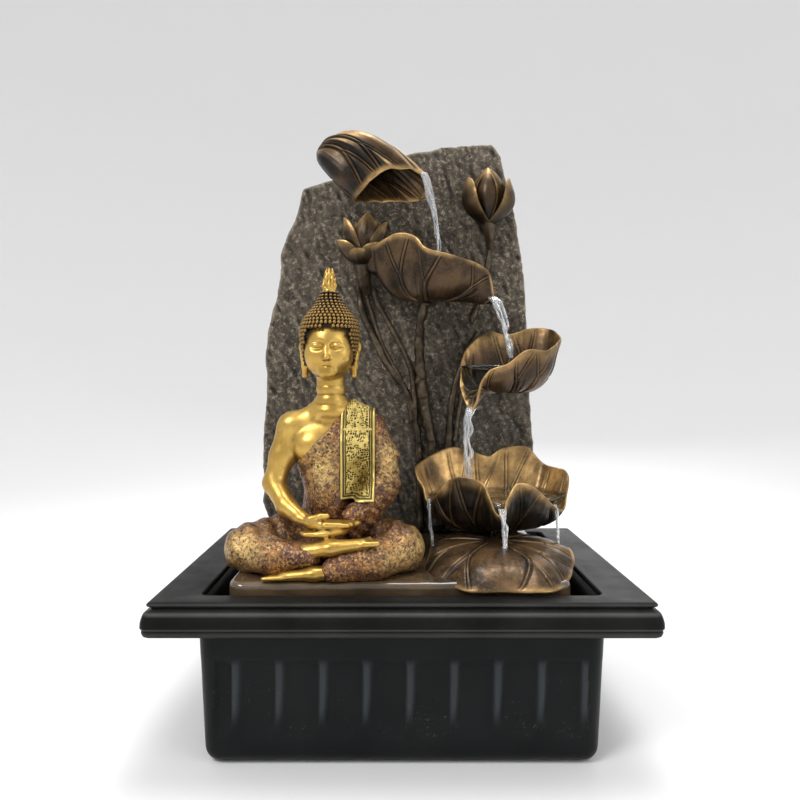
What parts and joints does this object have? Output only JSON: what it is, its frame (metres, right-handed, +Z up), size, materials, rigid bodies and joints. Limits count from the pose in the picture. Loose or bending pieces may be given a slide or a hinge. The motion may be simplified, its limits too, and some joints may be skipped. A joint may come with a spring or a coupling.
{
  "type": "tabletop water fountain",
  "caption": "Indoor water fountain: a fluted tank with a moulded rim, a slate-like slab with cascading lotus leaves, a seated figure and a submersible pump.",
  "frame": {"origin": "centre of the footprint, on the surface that the tank stands on", "axes": "+Z up, +X to the right seen from the front, +Y from the front towards the back"},
  "size_m": [0.304, 0.21, 0.427],
  "materials": {
    "tank_plastic": "black injection-moulded plastic, satin, fine grain",
    "rim_plastic": "black moulded plastic, satin-gloss with soft highlights",
    "pump_plastic": "black moulded plastic, satin",
    "seal_rubber": "black soft rubber, matt",
    "shaft_ceramic": "ground white ceramic",
    "ferrite": "dark grey sintered ferrite, matt",
    "impeller_plastic": "off-white moulded plastic",
    "slider_plastic": "dark grey moulded plastic",
    "deck_resin": "dark cast resin, wet",
    "slate_resin": "cast resin with a rough slate texture, dark grey-brown, matt",
    "stem_resin": "cast resin, dark bronze paint rubbed at the ridges",
    "leaf_resin": "cast resin, antique bronze paint with gold-rubbed edges",
    "flower_resin": "cast resin, antique bronze paint, petal tips rubbed gold",
    "figure_gold": "antique gold paint, glossy, darker in the recesses",
    "robe_paint": "stippled brown, gold and purple paint on a pebbled cast texture",
    "sash_paint": "green-gold filigree relief on dark ground",
    "hair_paint": "small cast curls, dark with gold-rubbed tips",
    "hose_pvc": "clear soft vinyl hose"
  },
  "bodies": {
    "base": {"tank": "tank_plastic", "rim_frame": "rim_plastic", "pump_housing": "pump_plastic", "pump_volute": "pump_plastic", "pump_o_ring": "seal_rubber", "pump_shaft": "shaft_ceramic", "shaft_bushes": "pump_plastic", "pump_suction_cups": "seal_rubber", "cable_gland": "seal_rubber"},
    "rotor": {"rotor_magnet": "ferrite", "impeller": "impeller_plastic"},
    "strainer": {"strainer_cover": "pump_plastic"},
    "slider": {"flow_slider": "slider_plastic"},
    "scene": {"deck": "deck_resin", "deck_legs": "deck_resin", "slab": "slate_resin", "slab_stems": "stem_resin", "leaf_stalks": "stem_resin", "leaf_1": "leaf_resin", "leaf_2": "leaf_resin", "leaf_3": "leaf_resin", "leaf_4": "leaf_resin", "leaf_5": "leaf_resin", "lotus_flower": "flower_resin", "flower_pod": "flower_resin", "lotus_bud": "flower_resin", "figure_body": "figure_gold", "figure_robe": "robe_paint", "figure_sash": "sash_paint", "figure_neck": "figure_gold", "figure_head": "figure_gold", "figure_hair": "hair_paint", "figure_finial": "figure_gold", "supply_hose": "hose_pvc", "outlet_elbow": "pump_plastic", "hose_clips": "pump_plastic"}
  },
  "joints": [
    {"name": "scene_lift", "type": "slide", "parent": "base", "child": "scene", "axis": [0, 0, 1], "range_m": [0, 0.13]},
    {"name": "impeller_spin", "type": "hinge", "parent": "base", "child": "rotor", "pos_m": [0, 0.054, 0.025], "axis": [1, 0, 0], "continuous": true},
    {"name": "strainer_pull", "type": "slide", "parent": "base", "child": "strainer", "axis": [-1, 0, 0], "range_m": [0, 0.025]},
    {"name": "flow_slide", "type": "slide", "parent": "strainer", "child": "slider", "axis": [0, 0, 1], "range_m": [0, 0.008]}
  ]
}
